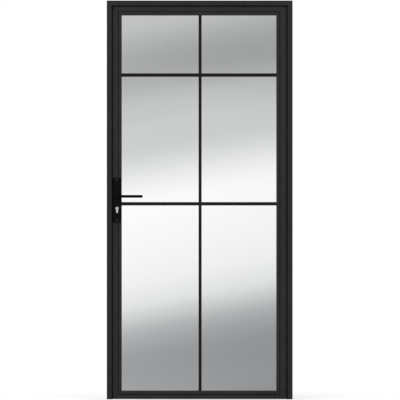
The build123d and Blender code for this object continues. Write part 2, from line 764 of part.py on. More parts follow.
def build_lock(nodes):
    """Lock case with its cover, forend, follower, latch and deadbolt."""
    half = case_thickness / 2
    wall_cuts = [
        rod_y(lock_x, spindle_z, journal_radius + running_clear, -half - overrun, half + overrun),
        through_y(cylinder_profile(cylinder_clear), -half - overrun, half + overrun),
    ]
    screw_sizes = (plate_head_radius, plate_shank_radius, cylinder_screw_length)
    cylinder_hole = screw_hole((-leaf_edge_x, 0, cylinder_screw_z), (1, 0, 0), *screw_sizes)
    bolt_holes = strike_holes(bolt_clear, -leaf_edge_x - overrun, case_front_x + overrun)
    tray = case_space(0) - case_space(case_skin)
    nodes["lock_case"] = tray - wall_cuts - bolt_holes - cylinder_hole
    cover = block((case_front_x, case_rear_x), (half - case_skin, half), (case_bottom, case_top))
    nodes["lock_cover"] = cover - wall_cuts

    forend = block((-leaf_edge_x, case_front_x), (-forend_width / 2, forend_width / 2), forend_z)
    places = [(-leaf_edge_x, 0, z) for z in forend_screw_heights]
    nodes["lock_forend"] = forend - bolt_holes - cylinder_hole - small_screws(places, (1, 0, 0), cut=True)

    inner = half - case_skin - follower_side_clear
    follower = rod_y(lock_x, spindle_z, follower_radius, -inner, inner)
    follower += rod_y(lock_x, spindle_z, journal_radius, -half, half)
    arm = Pos(0, arm_radius / 2) * Rectangle(arm_width, arm_radius)
    arm += Pos(0, arm_radius) * Circle(arm_width / 2)
    arm = Pos(lock_x, spindle_z) * Rot(0, 0, arm_lean) * arm
    follower += through_y(arm, -arm_thickness / 2, arm_thickness / 2)
    square = spindle_size / 2 + spindle_clear
    nodes["follower"] = follower - block(
        (lock_x - square, lock_x + square), (-half, half), (spindle_z - square, spindle_z + square)
    )

    tip_x = -leaf_edge_x - latch_throw
    side = latch_thickness / 2
    latch = block((tip_x, tip_x + latch_length), (-side, side), latch_z)
    bevel = [(tip_x, -side), (tip_x, side - latch_flat), (-leaf_edge_x, -side)]
    latch -= prism_z(bevel, *latch_z)
    arm_tip = Vector(0, arm_radius).rotate(Axis.Z, arm_lean)
    tail_low = spindle_z + tail_rise - tail_height / 2
    tail = block(
        (tip_x + latch_length, -leaf_edge_x + tail_end),
        (-tail_thickness / 2, tail_thickness / 2),
        (tail_low, tail_low + tail_height),
    )
    notch_x = lock_x + arm_tip.X
    notch_span = (notch_x - notch_width / 2, notch_x + notch_width / 2)
    tail -= block(notch_span, (-side, side), (tail_low, tail_low + notch_height))
    nodes["latch_bolt"] = latch + tail
    bolt_side = deadbolt_thickness / 2
    bolt_rear = -leaf_edge_x + deadbolt_length
    bolt = block((-leaf_edge_x, bolt_rear), (-bolt_side, bolt_side), deadbolt_z)
    bolt = chamfer(bolt.faces().sort_by(Axis.X)[0].edges(), bolt_edge)
    talon = block(
        (bolt_rear, bolt_rear + talon_length),
        (-talon_thickness / 2, talon_thickness / 2),
        (deadbolt_z[0] - talon_reach, deadbolt_z[0] + talon_lap),
    )
    nodes["deadbolt"] = bolt + talon


def plate_blank():
    """Front handle plate: a shallow tray with bosses round its openings."""
    middle = (plate_bottom + plate_top) / 2
    face = Pos(lock_x, middle) * RectangleRounded(plate_width, plate_height, plate_corner)
    plate = through_y(face, -plate_face, -leaf_half)
    front = plate.faces().sort_by(Axis.Y)[0]
    plate = chamfer(front.edges(), plate_edge_chamfer)
    space = Pos(lock_x, middle) * Rectangle(plate_width - 2 * plate_rim, plate_height - 2 * plate_rim)
    space -= Pos(lock_x, spindle_z) * Circle(bush_radius + boss_wall)
    space -= cylinder_profile(cylinder_clear + boss_wall)
    for z in plate_screw_heights:
        space -= Pos(lock_x, z) * Circle(plate_head_radius + boss_wall)
    plate -= through_y(space, plate_skin - plate_face, -leaf_half)
    plate -= rod_y(lock_x, spindle_z, bush_radius, -plate_face, -leaf_half)
    return plate - through_y(cylinder_profile(cylinder_clear), -plate_face, -leaf_half)


def lever_front():
    """Front lever: a round neck in its bush, bent into a round grip with a domed end."""
    neck_back = -leaf_half - neck_back_clear
    neck_front = -plate_face - neck_length
    grip_y = -plate_face - lever_standoff
    route = FilletPolyline(
        (lock_x, neck_front, spindle_z),
        (lock_x, grip_y, spindle_z),
        (lock_x + lever_reach, grip_y, spindle_z),
        radius=lever_bend,
    )
    start = Plane(origin=(lock_x, neck_front, spindle_z), z_dir=(0, -1, 0))
    grip = sweep(start * Circle(lever_radius), path=route)
    grip = fillet(grip.edges().sort_by(Axis.X)[-1], lever_tip_round)
    lever = rod_y(lock_x, spindle_z, neck_radius, neck_front, neck_back) + grip
    square = spindle_size / 2 + spindle_clear
    across = (lock_x - square, lock_x + square)
    lever -= block(across, (-spindle_reach, neck_back), (spindle_z - square, spindle_z + square))
    grub_y = -plate_face - grub_at
    return lever - rod_z(lock_x, grub_y, grub_radius, spindle_z - neck_radius, spindle_z - square)


def build_handles(nodes):
    """Handle plates, bushes, levers, spindle and their screws."""
    front, rear = plate_blank(), mirror(plate_blank(), about=Plane.XZ)
    screw_length = plate_face + sleeve_length / 2
    sizes = (plate_head_radius, plate_shank_radius, screw_length)
    screws = []
    for z in plate_screw_heights:
        place = (lock_x, -plate_face, z)
        front -= screw_hole(place, (0, 1, 0), *sizes)
        screws.append(screw(place, (0, 1, 0), *sizes))
        sleeve_end = leaf_half + plate_thickness / 2
        rear += rod_y(lock_x, z, sleeve_radius, leaf_half - sleeve_length, sleeve_end)
        rear -= rod_y(lock_x, z, plate_shank_radius + shank_clear, -leaf_half, sleeve_end)
    nodes["plate_front"] = front
    nodes["plate_rear"] = rear
    nodes["plate_screws"] = group(screws)

    bush = rod_y(lock_x, spindle_z, bush_radius, -plate_face, bush_length - plate_face)
    bush += rod_y(lock_x, spindle_z, bush_flange_radius, -plate_face - bush_flange, -plate_face)
    bush -= rod_y(lock_x, spindle_z, neck_radius + running_clear, -plate_face - bush_flange, -leaf_half)
    nodes["lever_bushes"] = group([bush, mirror(bush, about=Plane.XZ)])
    front_lever = lever_front()
    nodes["lever_front"] = front_lever
    nodes["lever_rear"] = mirror(front_lever, about=Plane.XZ)
    half = spindle_size / 2
    nodes["spindle"] = block(
        (lock_x - half, lock_x + half), (-spindle_reach, spindle_reach), (spindle_z - half, spindle_z + half)
    )
    grub_low = spindle_z - neck_radius + grub_clear
    grub = rod_z(lock_x, -plate_face - grub_at, grub_radius - grub_clear, grub_low, spindle_z - half)
    nodes["grub_screws"] = group([grub, mirror(grub, about=Plane.XZ)])


def frame_wing_screws():
    """Screw places on the frame half of each hinge."""
    inner = hinge_x + barrel_radius + wing_clear
    x = (inner + frame_width / 2 - frame_wing_margin) / 2
    offsets = (-wing_screw_pitch, 0, wing_screw_pitch)
    return [(x, leaf_half + wing_thickness, z + rise) for z in hinge_heights for rise in offsets]


def leaf_wing_screws():
    """Screw places on the leaf half of each hinge."""
    near = hinge_x - barrel_radius - wing_clear
    return [
        (near - share * leaf_wing_width, leaf_half + wing_thickness, z + side * wing_screw_pitch)
        for z in hinge_heights
        for share in leaf_screw_columns_shares
        for side in (-1, 1)
    ]


def barrel(z_low, z_high, free_end):
    """Hinge barrel with its free end softened, the end given as 0 for the lower and -1 for the upper."""
    shape = rod_z(hinge_x, hinge_y, barrel_radius, z_low, z_high)
    return chamfer(shape.edges().filter_by(GeomType.CIRCLE).sort_by(Axis.Z)[free_end], barrel_edge)


def build_hinges(nodes):
    """Barrel hinges on the rear faces: the frame half below carries the pin, the leaf half above its bush."""
    half, depth = hinge_length / 2, (leaf_half, leaf_half + wing_thickness)
    near_frame = hinge_x + barrel_radius + wing_clear
    near_leaf = hinge_x - barrel_radius - wing_clear
    pins, bushes = [], []
    for name, z in zip(("bottom", "middle", "top"), hinge_heights):
        split = (z - barrel_gap / 2, z + barrel_gap / 2)
        fixed = block((near_frame, frame_width / 2 - frame_wing_margin), depth, (z - half, z + half))
        fixed += block((jamb_face_x, near_frame), depth, (z - half, split[0]))
        fixed += barrel(z - half, split[0], 0)
        fixed -= rod_z(hinge_x, hinge_y, pin_radius, z - pin_below, split[0])
        nodes[f"hinge_{name}_frame_half"] = fixed - small_screws(frame_wing_screws(), (0, -1, 0), cut=True)
        pins.append(rod_z(hinge_x, hinge_y, pin_radius, z - pin_below, z + pin_above))

        swing = block((near_leaf - leaf_wing_width, near_leaf), depth, (z - half, z + half))
        swing += block((near_leaf, leaf_edge_x), depth, (split[1], z + half))
        swing += barrel(split[1], z + half, -1)
        swing -= rod_z(hinge_x, hinge_y, hinge_bush_radius, split[1], z + hinge_bush_length)
        nodes[f"hinge_{name}_leaf_half"] = swing - small_screws(leaf_wing_screws(), (0, -1, 0), cut=True)
        bush = rod_z(hinge_x, hinge_y, hinge_bush_radius, split[1], z + hinge_bush_length)
        bush += rod_z(hinge_x, hinge_y, barrel_radius, split[0] + thrust_clear, split[1])
        bore_top = z + hinge_bush_length - hinge_bush_air
        bushes.append(bush - rod_z(hinge_x, hinge_y, pin_radius + running_clear, split[0], bore_top))
    nodes["hinge_pins"] = group(pins)
    nodes["hinge_bushes"] = group(bushes)
    nodes["hinge_frame_screws"] = group(small_screws(frame_wing_screws(), (0, -1, 0)))
    nodes["hinge_leaf_screws"] = group(small_screws(leaf_wing_screws(), (0, -1, 0)))


nodes = {}
build_frame(nodes)
build_leaf(nodes)
build_lock(nodes)
build_cylinder(nodes)
build_handles(nodes)
build_hinges(nodes)

os.makedirs("parts", exist_ok=True)
for name, shape in nodes.items():
    export_step(shape, f"parts/{name}.step")
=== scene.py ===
# %% [markdown]
# # A glazed metal door in its frame
# The solid model already holds every section, seal, hinge and lock piece at its true size. This
# lesson dresses it: each piece gets the finish it has on a real door, and the small things that
# solids leave plain, such as screw sockets and the pile of the brush seal, are modelled on top. The
# box round the solids is kept first.

# %% Load the solid model
import math

import bpy
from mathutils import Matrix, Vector


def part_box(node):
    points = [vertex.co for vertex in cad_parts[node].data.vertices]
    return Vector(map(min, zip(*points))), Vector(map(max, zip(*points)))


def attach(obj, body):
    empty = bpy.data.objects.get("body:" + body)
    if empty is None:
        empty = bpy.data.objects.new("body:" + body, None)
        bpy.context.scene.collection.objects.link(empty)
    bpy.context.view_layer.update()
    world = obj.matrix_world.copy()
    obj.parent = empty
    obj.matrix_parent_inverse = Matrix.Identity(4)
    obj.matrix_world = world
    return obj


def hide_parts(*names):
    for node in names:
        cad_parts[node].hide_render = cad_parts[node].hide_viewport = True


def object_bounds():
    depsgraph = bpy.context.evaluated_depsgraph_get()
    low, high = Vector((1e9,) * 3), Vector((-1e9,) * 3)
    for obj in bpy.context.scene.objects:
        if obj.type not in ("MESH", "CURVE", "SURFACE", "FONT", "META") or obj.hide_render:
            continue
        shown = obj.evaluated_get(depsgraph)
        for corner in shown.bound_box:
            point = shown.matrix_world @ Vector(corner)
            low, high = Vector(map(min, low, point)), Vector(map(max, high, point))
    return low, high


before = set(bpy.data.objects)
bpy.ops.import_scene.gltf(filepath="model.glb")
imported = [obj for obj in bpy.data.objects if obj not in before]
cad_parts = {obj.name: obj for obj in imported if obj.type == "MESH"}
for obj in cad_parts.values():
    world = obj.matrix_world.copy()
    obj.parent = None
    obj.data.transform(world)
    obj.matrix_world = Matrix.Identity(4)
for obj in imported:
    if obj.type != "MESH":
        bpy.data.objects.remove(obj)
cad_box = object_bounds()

# %% [markdown]
# ## A small tool for finishes
# A finish is a chain of shader nodes. Wired by hand, or node by node in code, it is hard to read,
# because one sum takes many lines. So one class wraps a socket and lets it be added, subtracted,
# multiplied and divided like a number. Every other node comes from its one method, which sets the
# node's settings first and its sockets after.


# %% The socket class
class Signal:
    """One socket of a finish that can be used in arithmetic."""

    def __init__(self, tree, socket=None):
        self.tree = tree
        self.socket = socket

    def node(self, kind, sockets=None, output=0, stops=None, **settings):
        """Adds a node, sets it up, feeds its sockets and gives back one of its outputs."""
        made = self.tree.nodes.new(kind)
        for name, value in settings.items():
            setattr(made, name, value)
        if stops:
            ramp = made.color_ramp
            ramp.interpolation = "CARDINAL"
            while len(ramp.elements) < len(stops):
                ramp.elements.new(1.0)
            for element, (place, level) in zip(ramp.elements, stops):
                element.position = place
                element.color = (level, level, level, 1.0)
        for key, value in (sockets or {}).items():
            if isinstance(value, Signal):
                self.tree.links.new(value.socket, made.inputs[key])
            else:
                made.inputs[key].default_value = value
        return Signal(self.tree, made.outputs[output]) if made.outputs else None

    def maths(self, operation, first, second=0.0):
        """A sum of two values that are numbers or sockets; some operations need only the first."""
        return self.node("ShaderNodeMath", {0: first, 1: second}, operation=operation)

    def __add__(self, other):
        return self.maths("ADD", self, other)

    def __sub__(self, other):
        return self.maths("SUBTRACT", self, other)

    def __rsub__(self, other):
        return self.maths("SUBTRACT", other, self)

    def __mul__(self, other):
        return self.maths("MULTIPLY", self, other)

    def __truediv__(self, other):
        return self.maths("DIVIDE", self, other)

    __radd__ = __add__
    __rmul__ = __mul__


print("arithmetic:", [name for name in vars(Signal) if name.startswith("__r")])

# %% [markdown]
# ## The words that finishes share
# Most finishes are the same few ideas at other scales: a place on the object, a noise there, two
# colours mixed by it, and a bump. Each finish could spell them out, but as short functions they
# read like words and leave only what differs. The place is read from the object itself, so no
# unwrapping is needed.

# %% Starting and closing a finish
finishes = {}


def new_finish(name):
    """An empty finish to build in."""
    material = bpy.data.materials.new(name)
    material.use_nodes = True
    material.node_tree.nodes.clear()
    finishes[name] = material
    return Signal(material.node_tree)


def surface(bench, **sockets):
    """Closes a finish with a principled surface. Socket names are written with _ for spaces."""
    named = {name.replace("_", " "): value for name, value in sockets.items()}
    shader = bench.node("ShaderNodeBsdfPrincipled", named)
    bench.node("ShaderNodeOutputMaterial", {"Surface": shader})


print("words that open and close a finish:", new_finish.__name__, surface.__name__)

# %% Colours, noises, mixes and bumps
# A Mix node has a set of sockets for each kind of value. These are its colour sockets.
MIX_FACTOR, MIX_FIRST, MIX_SECOND, MIX_RESULT = 0, 6, 7, 2


def grey(level):
    return (level, level, level, 1.0)


def noise(bench, scale, detail, stretch=(1.0, 1.0, 1.0)):
    """Cloudy values over the object; a small stretch along an axis draws them out into lines along it."""
    place = bench.node("ShaderNodeTexCoord", output="Object")
    spot = bench.node("ShaderNodeMapping", {"Vector": place, "Scale": stretch})
    return bench.node("ShaderNodeTexNoise", {"Vector": spot, "Scale": scale, "Detail": detail})


def blend(bench, factor, first, second, **settings):
    """Two colours mixed by a factor."""
    sockets = {MIX_FACTOR: factor, MIX_FIRST: first, MIX_SECOND: second}
    return bench.node("ShaderNodeMix", sockets, output=MIX_RESULT, data_type="RGBA", **settings)


def bump(bench, height, depth, strength):
    """Small relief that only the light sees; depth is in metres."""
    sockets = {"Height": height, "Distance": depth, "Strength": strength}
    return bench.node("ShaderNodeBump", sockets)


print("words for a surface:", [word.__name__ for word in (grey, noise, blend, bump)])

# %% [markdown]
# ## Fine-texture powder coat
# The frame and leaf are black powder coat with the dry, sandy grain of a fine-texture powder. A
# picture of such a coat would repeat and blur close up, so noises make it here. The grain is a bump
# of a fraction of a millimetre, over the slow swell that every sprayed coat has. The colour is not
# one black: a soft mottle lies under the grain, and a little dust lies on the ledges that face up.
# The leaf is a shade lighter than the frame. The slim bars are the same coat, made darker as painted
# shade for the less light they take. So the coat is made three times, and once more for the hinges,
# which are smoother.

# %% Powder coat
GRAIN_SCALE, SWELL_SCALE, MOTTLE_SCALE = 1300.0, 160.0, 14.0
DUST, DUST_SHARE = grey(0.06), 0.4


def powder_coat(name, dark, light, gloss, rough=0.6, depth=0.00012):
    """A sandy coat between two greys, with dust where it faces up."""
    bench = new_finish(name)
    grain = noise(bench, GRAIN_SCALE, detail=3.0)
    swell = noise(bench, SWELL_SCALE, detail=2.0)
    mottle = noise(bench, MOTTLE_SCALE, detail=4.0)
    # Spread wide, so that some specks are fully dark and some fully light.
    speckle = 1.2 * mottle + 2.0 * grain - 1.1
    coat = blend(bench, speckle, grey(dark), grey(light))
    facing = bench.node("ShaderNodeTexCoord", output="Normal")
    upward = bench.node("ShaderNodeSeparateXYZ", {0: facing}, output="Z")
    dust = DUST_SHARE * mottle * bench.maths("MAXIMUM", upward, 0.0)
    surface(
        bench,
        Base_Color=blend(bench, dust, coat, DUST),
        Roughness=rough + 0.16 * (grain - 0.5) + 0.08 * (mottle - 0.5) + 0.3 * dust,
        Specular_IOR_Level=gloss,
        Normal=bump(bench, 0.75 * grain + 0.25 * swell, depth, strength=0.5),
    )


powder_coat("frame_coat", dark=0.0015, light=0.0105, gloss=0.25)
powder_coat("leaf_coat", dark=0.002, light=0.0125, gloss=0.28)
# Painted shade: the bars are the leaf's coat made darker, for the less light the slim bars take.
powder_coat("bar_coat_painted_shade", dark=0.0006, light=0.0060, gloss=0.14)
powder_coat("hinge_coat", dark=0.003, light=0.0135, gloss=0.26, rough=0.5, depth=0.00007)
print("powder coats:", list(finishes))

# %% [markdown]
# ## Handle black
# The handle is a much deeper, smoother black than the frame: a thin matt lacquer over a polished
# casting. It keeps almost no grain, and a hand leaves faint smooth patches on it, so one broad
# noise moves both its colour and its gloss. The lever is the same lacquer as its plate, made
# deeper still as painted shade, so the same lacquer is made twice.


# %% Handle lacquer
def lacquer(name, dark, light, gloss):
    """A smooth black between two greys, patchy where hands touch it."""
    bench = new_finish(name)
    touch = noise(bench, scale=38.0, detail=3.0)
    fine = noise(bench, scale=3800.0, detail=2.0)
    surface(
        bench,
        Base_Color=blend(bench, touch, grey(dark), grey(light)),
        Roughness=0.36 + 0.14 * touch,
        Specular_IOR_Level=gloss,
        Normal=bump(bench, fine, depth=0.00003, strength=0.3),
    )


lacquer("handle_black", dark=0.0008, light=0.0018, gloss=0.055)
# Painted shade: the lever's copy of the lacquer is darker than the plate's.
lacquer("lever_black_painted_shade", dark=0.0004, light=0.0010, gloss=0.03)
print("lacquers:", list(finishes)[-2:])

# %% [markdown]
# ## Blackened screws
# The screws in the black parts are steel with a thin oxide skin. It could be a paint, but a screw
# wears and shines as metal does, so the skin is about half metal, with a patina that changes its
# colour and gloss.

# %% Black oxide
bench = new_finish("black_oxide")
patina = noise(bench, scale=420.0, detail=4.0)
pits = noise(bench, scale=5200.0, detail=2.0)
surface(
    bench,
    Base_Color=blend(bench, patina, grey(0.008), grey(0.03)),
    Metallic=0.55,
    Roughness=0.34 + 0.2 * patina,
    Normal=bump(bench, pits, depth=0.00003, strength=0.4),
)
print("black oxide nodes:", len(bench.tree.nodes))

# %% [markdown]
# ## Rubber, nylon and brush pile
# The seals and gaskets are dull extruded rubber with a faint bloom. Moulded nylon has a fine spark
# texture from its mould. The pile is many fine fibres, so its colour runs in thin upright streaks.
# All three are near black and hardly shine, and what tells them apart is the scale of the noise and
# how deep it goes.

# %% Seal rubber
bench = new_finish("seal_rubber")
bloom = noise(bench, scale=55.0, detail=4.0)
pores = noise(bench, scale=900.0, detail=2.0)
surface(
    bench,
    Base_Color=blend(bench, bloom, grey(0.002), grey(0.005)),
    Roughness=0.78 + 0.14 * bloom,
    Specular_IOR_Level=0.12,
    Normal=bump(bench, 0.6 * pores + 0.4 * bloom, depth=0.00008, strength=0.4),
)
print("seal rubber nodes:", len(bench.tree.nodes))

# %% Moulded nylon and brush pile
bench = new_finish("moulded_nylon")
spark = noise(bench, scale=1900.0, detail=3.0)
surface(
    bench,
    Base_Color=blend(bench, spark, grey(0.002), grey(0.005)),
    Roughness=0.5 + 0.2 * spark,
    Specular_IOR_Level=0.1,
    Normal=bump(bench, spark, depth=0.00008, strength=0.4),
)

bench = new_finish("brush_pile")
fibres = noise(bench, scale=900.0, detail=3.0, stretch=(1.0, 1.0, 0.06))
surface(
    bench,
    Base_Color=blend(bench, fibres, grey(0.002), grey(0.012)),
    Roughness=0.7 + 0.25 * fibres,
    Specular_IOR_Level=0.2,
    Normal=bump(bench, fibres, depth=0.0003, strength=0.7),
)
print("soft blacks:", list(finishes)[-3:])

# %% [markdown]
# ## Bare metals
# The key cylinder is brass under satin nickel, with lines along its axis. The bolts, strike and
# forend are brushed steel with upright lines, the cleats and the brush carrier are drawn aluminium
# with lines along the rails, and the lock case is zinc plated and clouded, with no lines. A metal's
# lines could be cut as a bump alone, but they also change how much light comes back, so one noise
# drives colour, gloss and bump.


# %% Nickel, steel, zinc and aluminium
def drawn_metal(name, dark, light, rough, stretch, scale=1400.0):
    """A bare metal between two colours, with lines along the axis that stretch shortens."""
    bench = new_finish(name)
    lines = noise(bench, scale, detail=3.0, stretch=stretch)
    cloud = noise(bench, scale=45.0, detail=3.0)
    surface(
        bench,
        Base_Color=blend(bench, 0.6 * lines + 0.4 * cloud, dark, light),
        Metallic=1.0,
        Roughness=rough + 0.16 * (lines - 0.5) + 0.1 * (cloud - 0.5),
        Normal=bump(bench, lines, depth=0.00004, strength=0.35),
    )


drawn_metal("satin_nickel", (0.44, 0.43, 0.41, 1), (0.62, 0.61, 0.585, 1), 0.3, (1.0, 0.08, 1.0))
drawn_metal("brushed_steel", (0.40, 0.40, 0.39, 1), (0.58, 0.58, 0.57, 1), 0.36, (1.0, 1.0, 0.04))
drawn_metal("zinc_plate", (0.34, 0.36, 0.39, 1), (0.50, 0.51, 0.50, 1), 0.42, (1.0, 1.0, 1.0), 260.0)
drawn_metal("drawn_aluminium", (0.50, 0.50, 0.51, 1), (0.66, 0.66, 0.66, 1), 0.4, (0.05, 1.0, 1.0))
print("metals:", list(finishes)[-4:])

# %% [markdown]
# ## The painted shade of the keyway
# The walls inside a keyway are the same metal as the plug and lie in shade. From outside one sees a
# dark slot with a dull gleam, so that shade is painted into the finish: it is dark, half metal and
# rough.

# %% Keyway painted shade
# Painted shade: a dark, half-metal finish for the inside of the keyway.
bench = new_finish("keyway_painted_shade")
shade_noise = noise(bench, scale=900.0, detail=3.0)
surface(
    bench,
    Base_Color=blend(bench, shade_noise, grey(0.004), grey(0.02)),
    Metallic=0.5,
    Roughness=0.55 + 0.2 * shade_noise,
    Normal=bump(bench, shade_noise, depth=0.00005, strength=0.4),
)
print("keyway nodes:", len(bench.tree.nodes))

# %% [markdown]
# ## The pane
# The glass is polished. A soft grey studio reflection is painted into its colour and follows its
# height: pale at the very top, greyer under the head, a broad bright band from chest height to the
# knee, and grey again at the foot. The painted bands lean, lower on the lock side, and the lock side is
# a little paler, most of all at the foot and in the grey band under the head. Big pale cards round the
# door could give such bands by real reflection, but they would slide over the glass as one walks round
# it. A ramp along the leaning height keeps the painted reflection on the glass from any side.

# %% Tones of the painted reflection on the pane
PANE_LOW, PANE_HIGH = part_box("glass_pane")
PANE_HEIGHT = PANE_HIGH.z - PANE_LOW.z
LEAN, SIDE_SLOPE = 0.18, 0.05
FOOT_HEIGHT, FOOT_SLOPE = 0.25, 0.36
BAND_RISE, BAND_REACH, BAND_SLOPE = 0.83, 0.10, 1.3
# Painted reflection: grey levels over the pane's height, from foot to head.
PAINTED_REFLECTION_TONES = [
    (0.00, 0.30),
    (0.13, 0.30),
    (0.20, 0.46),
    (0.25, 0.70),
    (0.31, 0.84),
    (0.46, 0.93),
    (0.55, 0.91),
    (0.65, 0.64),
    (0.74, 0.57),
    (0.80, 0.49),
    (0.86, 0.36),
    (0.93, 0.38),
    (1.00, 0.51),
]
print("pane:", [round(v, 3) for v in PANE_LOW], [round(v, 3) for v in PANE_HIGH], "tones:", len(PAINTED_REFLECTION_TONES))

# %% [markdown]
# ## From painted tones to glass
# The place on the pane gives its height as a share, and the ramp turns that into a tone. Where the
# painted reflection is grey it also gets a painted tint, green near the head and blue near the foot,
# so the tint is mixed in by the tone itself. Clear glass takes the painted reflection from its base
# colour, and polish marks vary its gloss very slightly.

# %% Glass
# The two painted tints of the reflection, near the foot and near the head.
FOOT_REFLECTION_CAST, HEAD_REFLECTION_CAST = (0.965, 1.0, 1.04, 1.0), (0.945, 1.0, 0.965, 1.0)
bench = new_finish("glass_painted_reflection")
place = bench.node("ShaderNodeTexCoord", output="Object")
across = bench.node("ShaderNodeSeparateXYZ", {0: place}, output="X")
upward = bench.node("ShaderNodeSeparateXYZ", {0: place}, output="Z")
rise = (upward - PANE_LOW.z) / PANE_HEIGHT
# The painted reflection: a ramp along the leaning height, paler on the lock side.
tone = bench.node("ShaderNodeValToRGB", {"Fac": rise - LEAN / PANE_HEIGHT * across}, stops=PAINTED_REFLECTION_TONES)
foot = bench.maths("MAXIMUM", FOOT_HEIGHT - rise, 0.0)
band = bench.maths("MAXIMUM", BAND_REACH - bench.maths("ABSOLUTE", rise - BAND_RISE), 0.0)
paler = (SIDE_SLOPE * tone + FOOT_SLOPE * foot + BAND_SLOPE * band) * across
shade = tone - paler
# Painted tint of the reflection, mixed in where the painted reflection is grey.
reflection_cast = blend(bench, shade, blend(bench, rise, FOOT_REFLECTION_CAST, HEAD_REFLECTION_CAST), grey(1.0))
polish = noise(bench, scale=9.0, detail=3.0)
surface(
    bench,
    Base_Color=blend(bench, 1.0, reflection_cast, shade, blend_type="MULTIPLY"),
    Roughness=0.012 + 0.02 * polish,
    IOR=1.5,
    Transmission_Weight=1.0,
)
print("glass nodes:", len(bench.tree.nodes))

# %% [markdown]
# ## Dressing the solids
# Each solid keeps its shape and takes the finish of its kind. The pieces could be dressed one by
# one where they are made, but a list by finish shows at a glance which pieces share one, and that
# nothing is left bare.

# %% Which finish goes where
HINGES = ("bottom", "middle", "top")
DRESS = {
    "frame_coat": ["jamb_lock", "jamb_hinge", "frame_head", "stop_lock", "stop_hinge", "stop_head"],
    "leaf_coat": [
        "stile_lock", "stile_hinge", "rail_top", "rail_bottom",
        "bead_lock", "bead_hinge", "bead_top", "bead_bottom",
    ],
    "bar_coat_painted_shade": ["bar_front_upright", "bar_rear_upright", "bar_front_crossings", "bar_rear_crossings"],
    "hinge_coat": [f"hinge_{at}_{half}_half" for at in HINGES for half in ("frame", "leaf")],
    "handle_black": ["plate_front", "plate_rear"],
    "lever_black_painted_shade": ["lever_front", "lever_rear"],
    "black_oxide": [
        "plate_screws", "rail_foot_screws", "grub_screws", "hinge_frame_screws", "hinge_leaf_screws",
    ],
    "seal_rubber": ["frame_seals", "glazing_gasket_front", "glazing_gasket_rear"],
    "moulded_nylon": ["lever_bushes", "hinge_bushes", "stile_end_caps", "setting_blocks"],
    "brush_pile": ["brush_seal"],
    "satin_nickel": ["cylinder_body", "plug_front", "plug_rear"],
    "brushed_steel": [
        "strike_plate", "strike_screws", "hinge_pins", "lock_forend", "lock_screws",
        "latch_bolt", "deadbolt", "spindle", "follower", "cylinder_cam",
    ],
    "zinc_plate": ["lock_case", "lock_cover"],
    "drawn_aluminium": ["frame_corner_cleats", "rail_connectors", "brush_carrier"],
    "glass_painted_reflection": ["glass_pane"],
}
print("finishes in use:", len(DRESS), "pieces:", sum(map(len, DRESS.values())))


# %% Dress the solids
def dress(piece, finish):
    piece.data.materials.clear()
    piece.data.materials.append(finishes[finish])


for finish, names in DRESS.items():
    for name in names:
        dress(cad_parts[name], finish)
bare = set(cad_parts) - {name for names in DRESS.values() for name in names}
print("left bare:", sorted(bare))

# %% [markdown]
# ## Modelling by hand, in code
# New pieces start from a primitive and are shaped by edit-mode operators, as by hand. An operator
# acts on everything that is selected, so each piece starts from an empty selection and picks its
# faces by where they look. Picking by number would break as soon as a primitive had more sides.

# %% Selection helpers
FACING = 0.9


def fresh():
    """Leaves nothing selected."""
    if bpy.context.object and bpy.context.object.mode != "OBJECT":
        bpy.ops.object.mode_set(mode="OBJECT")
    bpy.ops.object.select_all(action="DESELECT")


def pick_faces(piece, direction):
    """Selects the faces that look in a direction and leaves the piece in edit mode."""
    bpy.ops.object.mode_set(mode="EDIT")
    bpy.ops.mesh.select_mode(type="FACE")
    bpy.ops.mesh.select_all(action="DESELECT")
    bpy.ops.object.mode_set(mode="OBJECT")
    for face in piece.data.polygons:
        face.select = face.normal.dot(Vector(direction)) > FACING
    bpy.ops.object.mode_set(mode="EDIT")


print("a face is picked within", round(math.degrees(math.acos(FACING))), "degrees of a direction")

# %% [markdown]
# ## Finishing a piece
# Every piece ends in the same way. Its modifiers are applied and its place goes into its mesh, so
# that it sits at the origin as the solids do and the noises of its finish don't slide. Then its
# soft edges are smoothed, it is dressed, and it is hung on the body that carries it. Where it
# stands for a plain solid, that solid is hidden.

# %% Finishing helpers
SMOOTH_ANGLE = math.radians(35)


def apply_modifier(piece, kind, **settings):
    modifier = piece.modifiers.new(kind.lower(), kind)
    for name, value in settings.items():
        setattr(modifier, name, value)
    bpy.context.view_layer.objects.active = piece
    bpy.ops.object.modifier_apply(modifier=modifier.name)


def join_into(piece, others):
    """Makes one object of a piece and others."""
    fresh()
    for part in (piece, *others):
        part.select_set(True)
    bpy.context.view_layer.objects.active = piece
    bpy.ops.object.join()


def finish_piece(piece, name, body, finish, slot, *stands_for):
    """Settles a piece at the origin, smooths it, dresses it and hangs it on its body."""
    fresh()
    piece.select_set(True)
    bpy.context.view_layer.objects.active = piece
    bpy.ops.object.transform_apply(location=True, rotation=True, scale=True)
    bpy.ops.object.shade_smooth_by_angle(angle=SMOOTH_ANGLE)
    piece.name = name
    dress(piece, finish)
    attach(piece, body)
    if stands_for:
        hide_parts(*stands_for)
    print(name, "faces:", len(piece.data.polygons))


print("edges are sharp over", round(math.degrees(SMOOTH_ANGLE)), "degrees")

# %% [markdown]
# ## Screws with sockets
# The solids hold each screw as a plain cone and rod. A real one has a six-sided socket and a
# softened rim, and those are what the eye finds on the handle plate. A dark spot in the finish
# could stand for the socket, but only a cut one catches the light. One screw of each size is
# modelled: a cone, its small end extruded into the shank, a bevel round the rim, and a hexagon cut
# out of the head.

# %% One screw of each size
SCREW_SIDES, SOCKET_SIDES = 36, 6
RIM_SHARE, RIM_ANGLE, RIM_STEPS = 0.05, 0.6, 2
SOCKET_DEPTH_SHARE = 0.8
SMALL_HEAD, SMALL_SHANK, SMALL_SOCKET = 0.0035, 0.002, 0.0016
LARGE_HEAD, LARGE_SHANK, LARGE_SOCKET = 0.0046, 0.0025, 0.0021
SMALL_LENGTH, PLATE_LENGTH, CYLINDER_LENGTH = 0.014, 0.0375, 0.039


